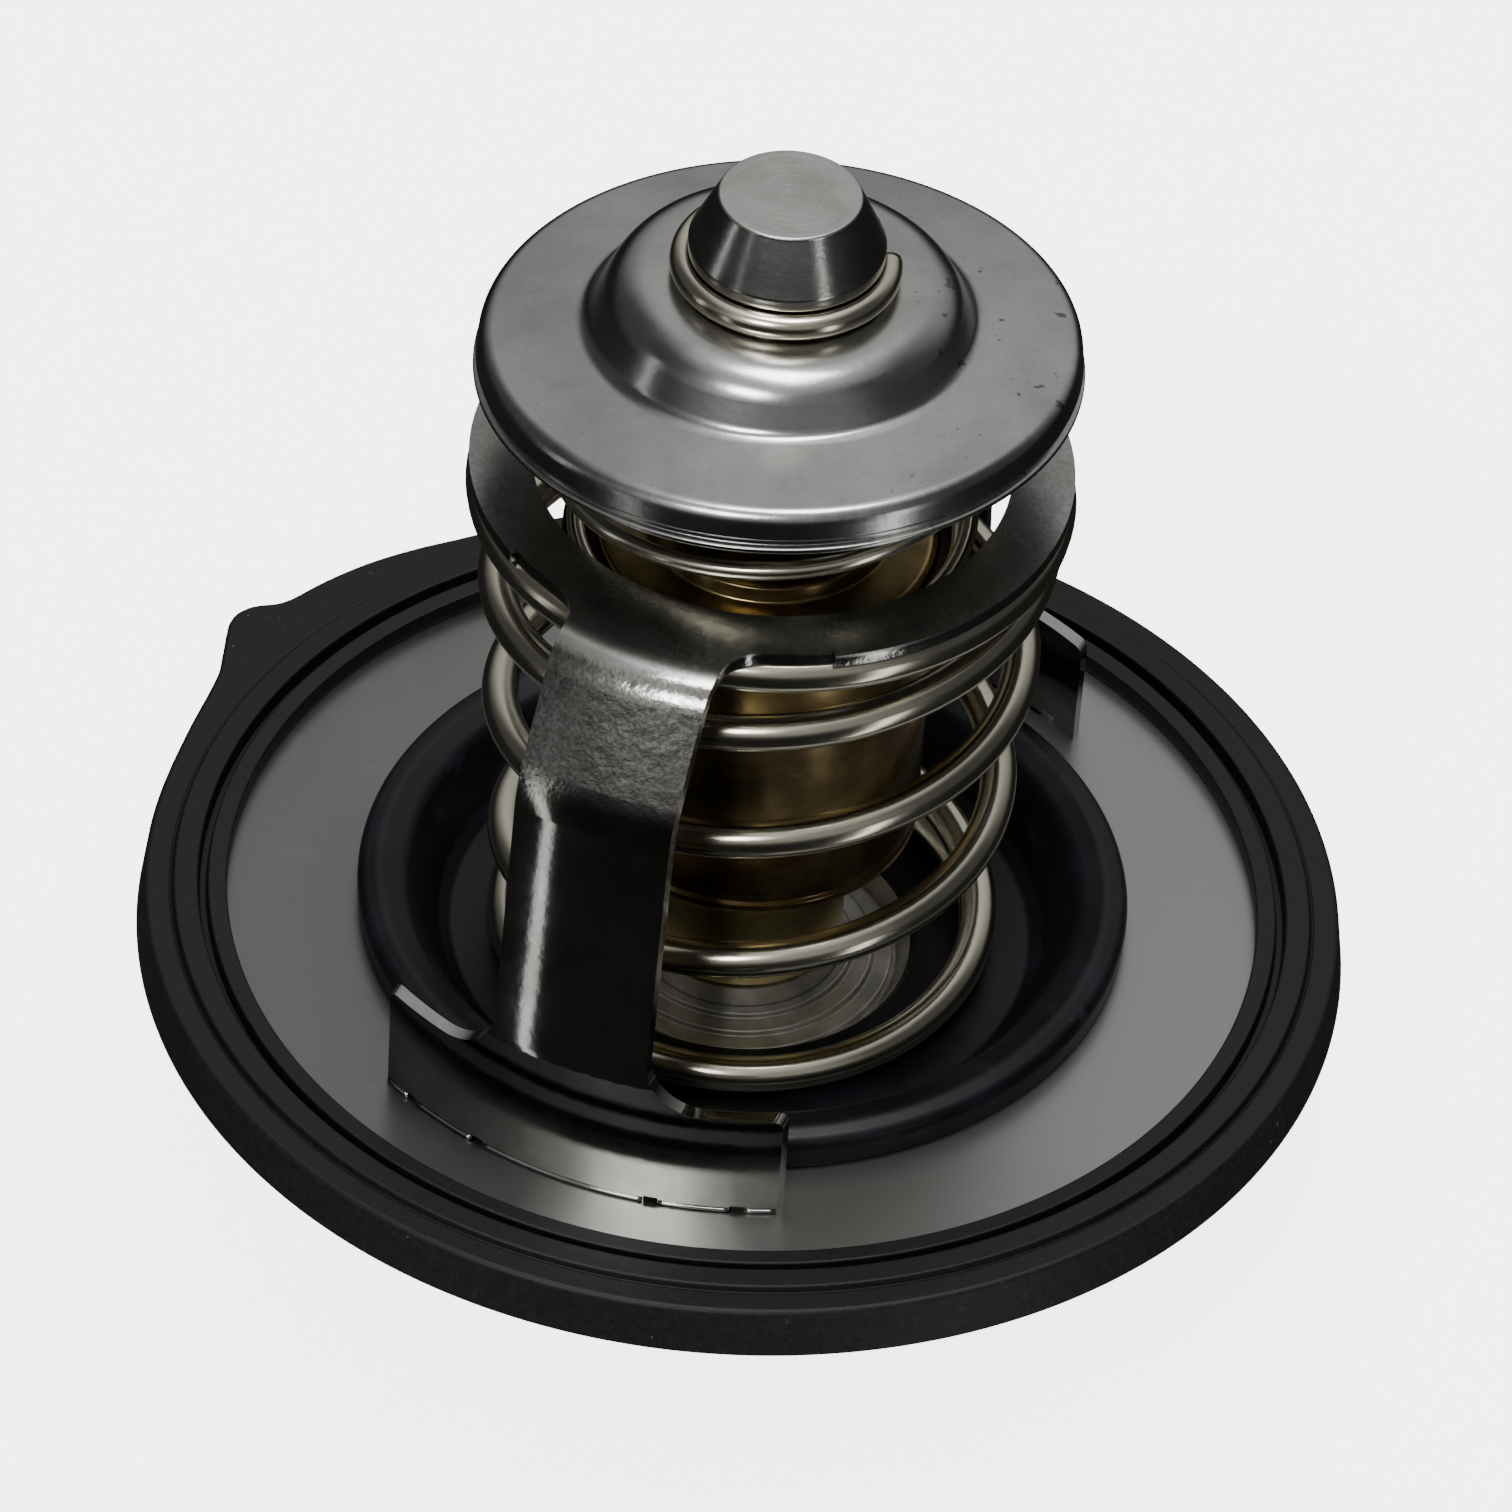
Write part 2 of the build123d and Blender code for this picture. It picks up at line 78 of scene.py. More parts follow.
def rounded_outline(corners, arc_steps=5):
    """A corner is (radius, height), or (radius, height, size of its rounding)."""
    count = len(corners)
    points = []
    for i, corner in enumerate(corners):
        here = Vector(corner[:2])
        rounding = corner[2] if len(corner) > 2 else 0.0
        if rounding <= 0:
            points.append(here)
            continue
        back = Vector(corners[i - 1][:2]) - here
        ahead = Vector(corners[(i + 1) % count][:2]) - here
        turn = back.angle(ahead)
        room = LONGEST_SHARE * min(back.length, ahead.length)
        reach = min(rounding / tan(turn / 2), room)
        bend = reach * tan(turn / 2)
        middle = (back.normalized() + ahead.normalized()).normalized()
        centre = here + middle * (bend / sin(turn / 2))
        first = here + back.normalized() * reach
        last = here + ahead.normalized() * reach
        a0 = atan2(first.y - centre.y, first.x - centre.x)
        a1 = atan2(last.y - centre.y, last.x - centre.x)
        sweep = (a1 - a0 + pi) % (2 * pi) - pi
        points.append(first + back.normalized() * ARC_GUARD)
        for k in range(arc_steps + 1):
            a = a0 + sweep * k / arc_steps
            points.append(centre + Vector((cos(a), sin(a))) * bend)
        points.append(last + ahead.normalized() * ARC_GUARD)
    return points


square = [(0, 0, 0.1), (1, 0, 0.1), (1, 1, 0.1), (0, 1, 0.1)]
print("a square with soft corners has", len(rounded_outline(square)), "points")

# %% [markdown]
# To spin an outline, its points are placed at each angle and joined to their
# neighbours by four-sided faces. The Screw modifier could do this too, but a mesh
# written here can also let the radius change with the angle, as the gasket needs.
# Each new mesh is then settled: doubled points merge, the faces turn outwards and
# the shading becomes smooth.

# %% Settle a mesh and spin an outline about Z
def settled(name, mesh):
    work = bmesh.new()
    work.from_mesh(mesh)
    bmesh.ops.remove_doubles(work, verts=work.verts, dist=1e-7)
    bmesh.ops.recalc_face_normals(work, faces=work.faces)
    work.to_mesh(mesh)
    work.free()
    mesh.polygons.foreach_set("use_smooth", [True] * len(mesh.polygons))
    piece = bpy.data.objects.new(name, mesh)
    bpy.context.collection.objects.link(piece)
    print(name, len(mesh.polygons), "faces")
    return piece


def spun(name, corners, shape=None, angles=None, arc_steps=5):
    outline = rounded_outline(corners, arc_steps)
    angles = angles or [2 * pi * s / ROUND_STEPS for s in range(ROUND_STEPS)]
    steps, count = len(angles), len(outline)
    verts, faces = [], []
    for a in angles:
        for p in outline:
            r = shape(p, a) if shape else p.x
            verts.append((r * cos(a) * MM, r * sin(a) * MM, p.y * MM))
    for s in range(steps):
        n = (s + 1) % steps
        for i in range(count):
            j = (i + 1) % count
            faces.append((s * count + i, n * count + i, n * count + j, s * count + j))
    mesh = bpy.data.meshes.new(name)
    mesh.from_pydata(verts, [], faces)
    return settled(name, mesh)


print("spinning", ROUND_STEPS, "steps of", 360 / ROUND_STEPS, "degrees")

# %% [markdown]
# The bypass valve is one domed pressing with a rolled collar inside its hole. Its
# flat crown, round shoulder and hollow neck are what catch the light, so they get
# large radii. The rim turns down into a short wall with a thin lip below a groove.
# The pressing fits its stem loosely and sits almost three degrees askew: the
# collar stays true, and the cone and the rim lean. The lean is given to the points
# of the mesh, because turning the whole piece would tilt the collar as well.

# %% The domed bypass valve
crown = 46.35
dome_outline = [
    (5.23, 42.15), (5.23, crown, 0.5), (8.6, crown, 2.5), (10.2, 43.3, 1.1),
    (15.7, 42.5, 1.1), (15.86, 41.05, 0.14), (15.64, 40.86, 0.08), (15.66, 40.62, 0.08),
    (15.98, 40.5, 0.1), (15.98, 40.2, 0.13), (15.2, 40.22, 0.1), (15.1, 40.9, 0.3),
    (14.8, 41.75, 0.5), (9.5, 42.5, 0.8), (7.8, 45.35, 1.0), (6.3, 45.35, 0.3), (6.23, 42.15),
]
lean_right, lean_back = 0.032, -0.036
lean_from, lean_spread = 8.5, 2.0
dome = spun("dome_valve", dome_outline, arc_steps=8)
for vertex in dome.data.vertices:
    place = vertex.co
    beyond = Vector(place[:2]).length / MM - lean_from
    share = min(1.0, max(0.0, beyond / lean_spread))
    place.z += share * (lean_right * place.x + lean_back * place.y)
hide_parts("bypass_valve")
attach(dome, "bypass")

# %% [markdown]
# The stem is turned from bar: a shank, a groove for the snap ring and a cone that
# ends in a flat face. A lathe leaves small chamfers, not perfect edges, so this
# outline is spun as the dome was. Its first and last points stand a hair off the
# axis, and the tiny hole between them is too small to see.

# %% The turned stem
stem_outline = [
    (0.01, 29.1), (3.0, 29.1), (3.0, 30.3), (5.15, 30.3), (5.15, 46.37, 0.1), (4.6, 46.37),
    (4.6, 47.87), (5.13, 47.87, 0.12), (5.15, 48.57, 0.3), (3.7, 51.57, 0.14),
    (0.08, 51.57), (0.01, 51.57),
]
stem = spun("turned_stem", stem_outline, arc_steps=4)
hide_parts("bypass_stem")
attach(stem, "element")

# %% [markdown]
# Wire is a circle carried along a path. A Blender curve with a bevel would do, but
# it can twist where the path climbs. The helper below takes the path as a list of
# points and keeps the circle square to it, so one helper serves the snap ring,
# both springs and the burr on the feet.

# %% Carry a circle along a path
def wire_piece(name, path, radius, round_steps=18):
    verts, faces = [], []
    last = len(path) - 1
    for i, p in enumerate(path):
        ahead = (path[min(i + 1, last)] - path[max(i - 1, 0)]).normalized()
        out = Vector((p.x, p.y, 0)).normalized()
        out = (out - ahead * out.dot(ahead)).normalized()
        up = ahead.cross(out)
        for k in range(round_steps):
            a = 2 * pi * k / round_steps
            verts.append((p + (out * cos(a) + up * sin(a)) * radius) * MM)
    for i in range(last):
        near, far = i * round_steps, (i + 1) * round_steps
        for k in range(round_steps):
            n = (k + 1) % round_steps
            faces.append((near + k, near + n, far + n, far + k))
    faces.append(tuple(range(round_steps))[::-1])
    faces.append(tuple(last * round_steps + k for k in range(round_steps)))
    mesh = bpy.data.meshes.new(name)
    mesh.from_pydata(verts, [], faces)
    return settled(name, mesh)


print("a wire of 100 points has", 99 * 18 + 2, "faces")

# %% [markdown]
# The snap ring is a short length of wire, bent almost into a ring and sprung into
# the groove of the stem, where it holds the dome down. Its open ends show on the
# right. A ring spun all the way round would be quicker, but would have no gap.

# %% The snap ring in its groove
gap_centre, gap_half, ring_steps = 22.0, 16.0, 110
ring_radius, ring_height, ring_wire = 5.36, 47.12, 0.7
ring_path = []
for i in range(ring_steps + 1):
    a = radians(gap_centre + gap_half + (360 - 2 * gap_half) * i / ring_steps)
    ring_path.append(Vector((ring_radius * cos(a), ring_radius * sin(a), ring_height)))
snap = wire_piece("snap_wire", ring_path, ring_wire)
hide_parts("snap_ring")
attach(snap, "element")

# %% [markdown]
# A spring of even pitch is a plain helix, but these two have flat end coils and
# change their radius on the way. A short table gives radius and height at a few
# turns, and a smooth curve runs through its rows. The curve never overshoots, so
# the flat coils stay flat.

# %% A smooth path through a table
def eased(table, column, t):
    """A smooth value between rows of a table, with no overshoot."""
    last = len(table) - 1
    k = max([i for i in range(last) if table[i][0] <= t] or [0])
    rate = [(table[i + 1][column] - table[i][column]) / (table[i + 1][0] - table[i][0])
            for i in range(last)]

    def slope(i):
        if i in (0, last) or rate[i - 1] * rate[i] <= 0:
            return 0.0
        return 2 * rate[i - 1] * rate[i] / (rate[i - 1] + rate[i])

    wide = table[k + 1][0] - table[k][0]
    u = min(max((t - table[k][0]) / wide, 0.0), 1.0)
    start, end = table[k][column], table[k + 1][column]
    return (start * (2 * u**3 - 3 * u**2 + 1) + end * (3 * u**2 - 2 * u**3)
            + wide * (slope(k) * (u**3 - 2 * u**2 + u) + slope(k + 1) * (u**3 - u**2)))


def coil_path(table, per_turn=96):
    """Each row is turns from the front, radius and height."""
    first, last = table[0][0], table[-1][0]
    steps = int((last - first) * per_turn)
    path = []
    for i in range(steps + 1):
        t = first + (last - first) * i / steps
        a = 2 * pi * t - pi / 2
        r = eased(table, 1, t)
        path.append(Vector((r * cos(a), r * sin(a), eased(table, 2, t))))
    return path


print("half way between 0 and 10:", eased([(0, 0.0), (1, 10.0)], 1, 0.5))

# %% [markdown]
# The main spring is slightly conical: it is narrow on the valve and wide under the
# frame, and its end coils lie flat. It rides on the housing, with a mesh of its own.

# %% The main spring
main_path = coil_path([
    (-0.75, 13.0, 1.5), (-0.02, 13.0, 1.5), (1.0, 13.3, 10.2), (2.0, 13.95, 19.4),
    (3.0, 14.4, 27.3), (3.65, 15.1, 32.1), (4.4, 15.2, 32.13),
])
main_spring = wire_piece("main_coil", main_path, 1.0)
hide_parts("main_spring")
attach(main_spring, "housing_side")
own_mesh(main_spring)

# %% [markdown]
# The bypass spring stands on the wax element and pushes the dome up against the
# snap ring. It is wound from thinner wire, and gets a mesh of its own.

# %% The bypass spring
bypass_path = coil_path([
    (-0.8, 10.2, 29.4), (-0.04, 10.2, 29.4), (0.5, 11.1, 32.4), (1.0, 11.65, 36.0),
    (1.55, 11.65, 39.6), (2.0, 11.6, 41.4), (2.7, 11.6, 41.45),
], per_turn=80)
bypass_spring = wire_piece("bypass_coil", bypass_path, 0.5, 12)
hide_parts("bypass_spring")
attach(bypass_spring, "element")
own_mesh(bypass_spring)

# %% [markdown]
# The gasket is moulded round the edge of the flange, and a small ear on it finds
# the notch in the housing. The ear stands on a wider lobe of rubber. It could be a
# separate piece joined on, but then a seam would show, so the spun outline itself
# moves out: a table gives how far at each azimuth, and a smooth curve runs
# through the table. The steps round the rim are finer where the ear is.

# %% The ear of the gasket
ear_azimuth, fine_reach = 145.8, 8
lobe_start, lobe_end = 100, 190
inner_edge, wall_edge = 31.5, 32.85
lobe = [
    (100.0, 0.0), (113.0, 0.0), (121.6, 0.26), (126.7, 0.69), (131.8, 1.13), (137.4, 1.44),
    (140.4, 1.56), (141.8, 1.76), (142.8, 2.1), (143.6, 2.5), (144.6, 2.86), (145.9, 3.02),
    (147.1, 2.88), (148.9, 2.34), (150.2, 1.9), (151.5, 1.5), (153.9, 0.86), (157.4, 0.45),
    (161.2, 0.22), (166.0, 0.05), (172.0, 0.0), (190.0, 0.0),
]


def ear_bulge(p, a):
    azimuth = a * 180 / pi
    if p.x < inner_edge or not lobe_start < azimuth < lobe_end:
        return p.x
    share = min(1.0, p.x - inner_edge)
    return max(p.x, p.x + share * (eased(lobe, 1, azimuth) - max(0.0, p.x - wall_edge)))


coarse = [a * 1.2 for a in range(300)]
coarse = [a for a in coarse if abs(a - ear_azimuth) > fine_reach]
fine = [ear_azimuth + i * 0.2 for i in range(-40, 41)]
rim_angles = [radians(a) for a in sorted(coarse + fine)]
print("steps round the gasket:", len(rim_angles))

# %% [markdown]
# Both faces of the gasket have a fine rib, a deep groove, a raised land and a
# lower outer land, and its wall tapers so that it leaves the mould. One face is
# drawn as distances from the middle height, and its mirror image gives the other.
# The last four corners are the slot that holds the edge of the flange.

# %% The moulded gasket
middle = 1.8
face = [
    (28.3, 0.9), (28.3, 1.6, 0.12), (29.35, 1.65, 0.12), (29.43, 0.92, 0.05), (29.8, 0.92, 0.05),
    (29.88, 1.8, 0.14), (31.2, 1.8, 0.14), (31.36, 1.42, 0.05), (31.5, 1.5, 0.1),
]
upper = [(r, middle + z, *k) for r, z, *k in face]
wall = [(32.85, 3.3, 0.3), (33.25, 0.5, 0.2), (33.05, 0.3, 0.1)]
lower = [(r, middle - z, *k) for r, z, *k in reversed(face)]
flange_slot = [(28.3, 1.31), (31.55, 1.31), (31.55, 2.29), (28.3, 2.29)]
gasket = spun("gasket_rubber", upper + wall + lower + flange_slot,
              shape=ear_bulge, angles=rim_angles, arc_steps=3)
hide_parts("gasket")
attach(gasket, "housing_side")

# %% [markdown]
# The valve is a dished steel plate inside moulded rubber. Only its rubber shows
# from above: a soft ridge round the edge, a slope down to the spring's seat and a
# thin skin that reaches in to the steel. It is spun, because moulded rubber has
# a different rounding at every corner.

# %% The moulded valve rubber
valve_outline = [
    (10.6, -0.8), (10.6, -1.15, 0.1), (17.1, -1.15, 0.3), (18.75, 2.31), (21.1, 2.31, 0.12),
    (21.2, 4.1, 0.7), (20.0, 4.5, 1.0), (18.4, 4.0, 1.2), (16.7, 1.0, 0.9), (16.0, 0.5, 0.5),
    (9.8, 0.42, 0.3), (8.78, -1.08, 0.05), (8.72, -1.19), (9.43, -0.07), (10.6, -0.07),
]
valve_skin = spun("valve_skin", valve_outline, arc_steps=6)
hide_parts("valve_rubber")
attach(valve_skin, "element")

# %% [markdown]
# Inside the spring the steel of the valve steps down from the neck of the element.
# Each step is about a third of a millimetre, and its rolled edge shows as a line.
# Bump in a material could fake the lines, but real steps also show from the side.

# %% The stepped washer round the neck
washer_outline = [
    (5.72, -1.2), (8.5, -1.2), (8.5, -0.86, 0.14), (7.5, -0.9, 0.1), (7.38, -0.56, 0.14),
    (6.4, -0.6, 0.1), (6.28, -0.28, 0.14), (5.72, -0.3, 0.05),
]
washer = spun("stepped_washer", washer_outline, arc_steps=4)
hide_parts("valve_hub")
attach(washer, "element")

# %% [markdown]
# The wax element is a brass cup. Its mouth is rolled in over the seal, which
# leaves a bead at the bottom edge, and its closed end carries the bypass stem. It
# is spun as a thin shell, open inside, because the wax and the seal fill it.

# %% The cup of the wax element
cup_outline = [
    (4.9, 9.9), (7.7, 9.8, 0.3), (8.7, 9.6, 0.4), (9.16, 9.8, 0.3), (9.2, 10.3, 0.2),
    (9.06, 10.6, 0.2), (9.2, 11.0, 0.3), (9.2, 29.5, 0.6), (6.6, 29.5, 0.2), (6.3, 30.3, 0.2),
    (3.0, 30.3), (3.0, 29.1), (0.01, 29.1), (0.01, 28.3), (7.4, 28.3, 0.8), (8.2, 27.5, 0.3),
    (8.2, 10.8), (4.9, 10.8),
]
cup = spun("element_cup", cup_outline, arc_steps=6)
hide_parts("element_case")
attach(cup, "element")

# %% [markdown]
# Below the cup a brass neck guides the piston and passes through the washer. It is
# turned from bar with a flange at the top, which the cup's rolled mouth grips, and
# a smaller one below, which holds the valve.

# %% The neck of the wax element
neck_outline = [
    (2.05, -4.0), (3.3, -4.0, 0.2), (3.7, -2.95, 0.2), (5.8, -2.95, 0.15), (5.8, -2.05, 0.1),
    (4.9, -2.05), (4.9, 1.05), (5.6, 1.05, 0.2), (5.6, 9.2, 0.5), (7.9, 9.5, 0.3), (7.9, 9.72),
    (8.15, 10.85), (8.15, 12.15), (4.25, 12.15), (4.25, 11.2), (2.05, 11.2),
]
neck = spun("element_neck", neck_outline, arc_steps=4)
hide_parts("element_guide")
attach(neck, "element")

# %% [markdown]
# The feet of the frame are sheared, and shearing turns up a fine burr along the
# bottom edge, where the foot stands on the flange. It is thinner than a hair, but
# it draws the bright line that ends the foot. Thin wire laid along the edge makes
# it, which leaves the frame's own mesh alone. Each stretch stops at a tab's notch.

# %% The burr along the feet
burr_radius, burr_height, burr_wire = 24.42, 2.43, 0.1
foot_turns = {"front": -110.7, "rear": 69.3}
stretches = [(-27.6, -23.7), (-21.7, -12.9), (-10.9, 10.9), (12.9, 21.7), (23.7, 27.6)]


def burr_line(name, first, last):
    steps = max(4, int((last - first) * 1.5))
    path = []
    for i in range(steps + 1):
        a = radians(first + (last - first) * i / steps)
        path.append(Vector((burr_radius * cos(a), burr_radius * sin(a), burr_height)))
    burr = wire_piece(name, path, burr_wire, 10)
    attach(burr, "housing_side")
    return burr


burrs = []
for side, turn in foot_turns.items():
    for k, (first, last) in enumerate(stretches):
        burrs.append(burr_line("burr_" + side + "_" + str(k), turn + first, turn + last))

# %% [markdown]
# A finish is a small graph of nodes. The class below wraps one output of a node, so
# that a mask can be written as an ordinary sum, such as 1 - speck * 0.3. Linking
# the nodes one by one would give the same graph in many more lines.

# %% Sums on shader values
class Flow:
    """One output of a shader node."""

    def __init__(self, tree, socket=None):
        self.tree, self.socket = tree, socket

    def add(self, kind, settings=None, values=None, out=0):
        node = self.tree.nodes.new(kind)
        for key, value in (settings or {}).items():
            setattr(node, key, value)
        for key, value in (values or {}).items():
            if isinstance(value, Flow):
                self.tree.links.new(value.socket, node.inputs[key])
            else:
                node.inputs[key].default_value = value
        return Flow(self.tree, node.outputs[out])

    def math(self, how, first, second=0.0):
        return self.add("ShaderNodeMath", {"operation": how}, {0: first, 1: second})

    def __add__(self, other):
        return self.math("ADD", self, other)

    def __sub__(self, other):
        return self.math("SUBTRACT", self, other)

    def __rsub__(self, other):
        return self.math("SUBTRACT", other, self)

    def __mul__(self, other):
        return self.math("MULTIPLY", self, other)

    __radd__ = __add__
    __rmul__ = __mul__

    def step(self, low, high):
        return self.add("ShaderNodeMapRange", {"interpolation_type": "SMOOTHSTEP"},
                        {"Value": self, "From Min": low, "From Max": high})

    def blend(self, first, second):
        return self.add("ShaderNodeMix", {"data_type": "RGBA", "blend_type": "MIX"},
                        {0: self, 6: first, 7: second}, out=2)


print("sums ready")

# %% [markdown]
# Every finish starts in the same way: a new material, its main shader, and the
# place on the part in millimetres. Object coordinates are used, so that a pattern
# stays on its piece when a joint moves it. Noise comes as a cloud, and rings and
# streaks are clouds read along the radius or round the axis.

# %% Start a finish and read places on the part
def finish(name, **constants):
    material = bpy.data.materials.new(name)
    material.use_nodes = True
    shader = material.node_tree.nodes["Principled BSDF"]
    for key, value in constants.items():
        shader.inputs[key.replace("_", " ")].default_value = value
    start = Flow(material.node_tree)
    place = start.add("ShaderNodeTexCoord", out="Object")
    place = start.add("ShaderNodeVectorMath", {"operation": "SCALE"}, {0: place, "Scale": 1000.0})
    print("finish", name)
    return material, shader, start, place


def feed(start, shader, name, flow):
    start.tree.links.new(flow.socket, shader.inputs[name])


def parts_of(start, place):
    split = start.add("ShaderNodeSeparateXYZ", {}, {0: place})
    return [Flow(start.tree, output) for output in split.socket.node.outputs]


def from_axis(start, x, y):
    return start.math("SQRT", x * x + y * y)


def cloud(start, place, scale, detail=3.0, rough=0.55, stretch=None):
    if stretch:
        place = start.add("ShaderNodeVectorMath", {"operation": "MULTIPLY"}, {0: place, 1: stretch})
    return start.add("ShaderNodeTexNoise", {},
                     {"Vector": place, "Scale": scale, "Detail": detail, "Roughness": rough})


def cloud_along(start, first, second=0.0, detail=3.0, rough=0.55):
    line = start.add("ShaderNodeCombineXYZ", {}, {0: first, 1: second, 2: 0.0})
    return cloud(start, line, 1.0, detail, rough)


def bumped(start, shader, height, distance, strength=1.0):
    bump = start.add("ShaderNodeBump", {}, {"Height": height, "Distance": distance, "Strength": strength})
    feed(start, shader, "Normal", bump)


def colour(r, g, b):
    return (r, g, b, 1.0)


print("finish helpers ready")

# %% [markdown]
# Steel is told apart by its roughness and its marks. The domed valve is rolled
# sheet: even, a little soft, with dark specks on the right and streaks round its
# rim, where the press drew it down. Slow variation comes first, then the marks.

# %% Rolled steel of the domed valve
satin, shader, start, place = finish("satin_steel", Metallic=1.0)
x, y, z = parts_of(start, place)
slow = cloud(start, place, 0.13, 3.0, 0.6)
fine = cloud(start, place, 2.2, 4.0, 0.7)
specks = cloud(start, place, 1.1, 2.0, 0.5).step(0.69, 0.74) * (x * 0.05).step(0.15, 0.55)
rim = from_axis(start, x, y).step(14.9, 15.5)
streaks = cloud_along(start, start.math("ARCTAN2", y, x) * 30.0, z * 0.5, 4.0, 0.7)
tone = slow.step(0.3, 0.7).blend(colour(0.40, 0.40, 0.385), colour(0.54, 0.54, 0.52))
tone = (fine.step(0.5, 0.75) * 0.25).blend(tone, colour(0.24, 0.24, 0.23))
tone = (rim * streaks.step(0.35, 0.7) * 0.3).blend(tone, colour(0.22, 0.21, 0.19))
tone = (specks * 0.75).blend(tone, colour(0.08, 0.07, 0.065))
feed(start, shader, "Base Color", tone)
feed(start, shader, "Roughness", 0.12 + slow * 0.13 + fine * 0.06 + rim * streaks * 0.04)
bumped(start, shader, fine * 0.5 + slow * 2.0, 0.00003, 0.35)

# %% [markdown]
# The flange is rolled steel too, but duller: it mirrors only large, soft shapes.
# Its left side is painted darker than its right, as painted shade for the dimmer
# reflections on that side, and a few thin scratches cross it. They are noise
# stretched twenty times along one axis and cut off near its peaks.

# %% Satin steel of the flange
flange_steel, shader, start, place = finish("mirror_steel", Metallic=1.0)
x = parts_of(start, place)[0]
slow = cloud(start, place, 0.045, 3.0)
stain = cloud(start, place, 0.30, 4.0, 0.6)
fine = cloud(start, place, 3.0, 3.0, 0.6)
patch = cloud(start, place, 0.1, 1.0).step(0.52, 0.6)
scratch = cloud(start, place, 1.0, 1.0, 0.5, (0.05, 1.6, 1.0)).step(0.735, 0.76) * patch
# Painted shade: the slope along x darkens the left side of the flange, where it mirrors less light.
tone = (x * 0.02 + slow).step(0.1, 0.9).blend(colour(0.21, 0.21, 0.204), colour(0.36, 0.36, 0.35))
tone = (stain.step(0.55, 0.75) * 0.2).blend(tone, colour(0.34, 0.33, 0.31))
tone = (scratch * 0.25).blend(tone, colour(0.30, 0.25, 0.21))
feed(start, shader, "Base Color", tone)
feed(start, shader, "Roughness", 0.29 + slow * 0.06 + fine * 0.03)
bumped(start, shader, fine, 0.000006, 0.2)

# %% [markdown]
# The frame is plated and almost a mirror on its legs and feet. Where the press
# bent the sheet, above the knee, the plating has a mottled skin like orange peel,
# and a brown tint runs across the bend. The ring on top is a little rougher. Each
# of these zones is a band of heights, so no mask has to be painted.

# %% Plated steel of the frame
plated, shader, start, place = finish("plated_steel", Metallic=1.0)
z = parts_of(start, place)[2]
slow = cloud(start, place, 0.20, 4.0, 0.6)
peel = cloud(start, place, 1.1, 3.0, 0.55)
fine = cloud(start, place, 4.0, 3.0, 0.6)
bend = z.step(26.2, 28.5) * (1 - z.step(33.3, 33.8))
top = z.step(33.6, 33.85)
knee = z.step(25.2, 26.2) * (1 - z.step(26.8, 28.2))
tint = knee * cloud(start, place, 0.35, 3.0).step(0.35, 0.65)
tone = slow.step(0.35, 0.7).blend(colour(0.34, 0.34, 0.32), colour(0.50, 0.50, 0.48))
tone = (bend * fine.step(0.40, 0.62) * 0.5).blend(tone, colour(0.18, 0.17, 0.14))
tone = (top * fine.step(0.3, 0.7) * 0.5).blend(tone, colour(0.22, 0.22, 0.215))
tone = (tint * 0.5).blend(tone, colour(0.24, 0.14, 0.09))
feed(start, shader, "Base Color", tone)
feed(start, shader, "Roughness", 0.045 + slow * 0.05 + bend * 0.05 + bend * peel * 0.12 + top * 0.20)
relief = peel * (0.05 + bend * 0.9) + fine * (0.03 + bend * 0.25) + slow * 0.3
bumped(start, shader, relief, 0.00008, 0.5)

# %% [markdown]
# Spring wire is drawn through a die, which leaves it smooth and bright, with a
# faint yellow cast. A light, even finish is enough: the long highlights come from
# the round section of the wire itself.

# %% Drawn spring wire
wire, shader, start, place = finish("drawn_wire", Metallic=1.0)
slow = cloud(start, place, 0.12, 3.0)
line = cloud(start, place, 0.9, 4.0, 0.6)
tone = slow.step(0.3, 0.7).blend(colour(0.60, 0.575, 0.46), colour(0.74, 0.71, 0.58))
feed(start, shader, "Base Color", tone)
feed(start, shader, "Roughness", 0.16 + line * 0.08)
bumped(start, shader, line, 0.00001, 0.2)

# %% [markdown]
# A lathe tool leaves fine rings on a face. Here a cloud is read along the radius
# only, so its waves close into rings round the axis, strong on the flat end of the
# stem and faint on its sides. A few blots dull the end face.

# %% Turned steel of the stem
turned, shader, start, place = finish("turned_steel", Metallic=1.0)
x, y, z = parts_of(start, place)
rings = cloud_along(start, from_axis(start, x, y) * 3.4, 0.0, 3.0, 0.6)
blots = cloud(start, place, 0.9, 4.0, 0.65)
end_face = z.step(51.40, 51.5)
slow = cloud(start, place, 0.3, 3.0)
tone = slow.step(0.3, 0.7).blend(colour(0.42, 0.41, 0.39), colour(0.54, 0.535, 0.51))
tone = (end_face * blots.step(0.45, 0.7) * 0.3).blend(tone, colour(0.28, 0.28, 0.26))
feed(start, shader, "Base Color", tone)
feed(start, shader, "Roughness", 0.17 + blots * 0.08 + end_face * (0.14 + rings * 0.10))
bumped(start, shader, rings * (0.05 + end_face * 0.95) + blots * 0.5, 0.00006, 0.45)

# %% [markdown]
# The brass has been in hot coolant: the cup is brown with age and the neck is
# still golden. The bypass seat is given an almost black brass. One helper mixes all
# three from a dark and a light colour, since only the colours and the sheen differ.

# %% Brass of the wax element
def brass_finish(name, dark, light, rough):
    material, shader, start, place = finish(name, Metallic=1.0)
    slow = cloud(start, place, 0.2, 4.0, 0.6)
    fine = cloud(start, place, 2.0, 3.0)
    feed(start, shader, "Base Color", slow.step(0.35, 0.68).blend(dark, light))
    feed(start, shader, "Roughness", rough + slow * 0.12 + fine * 0.05)
    bumped(start, shader, fine, 0.00002, 0.3)
    return material


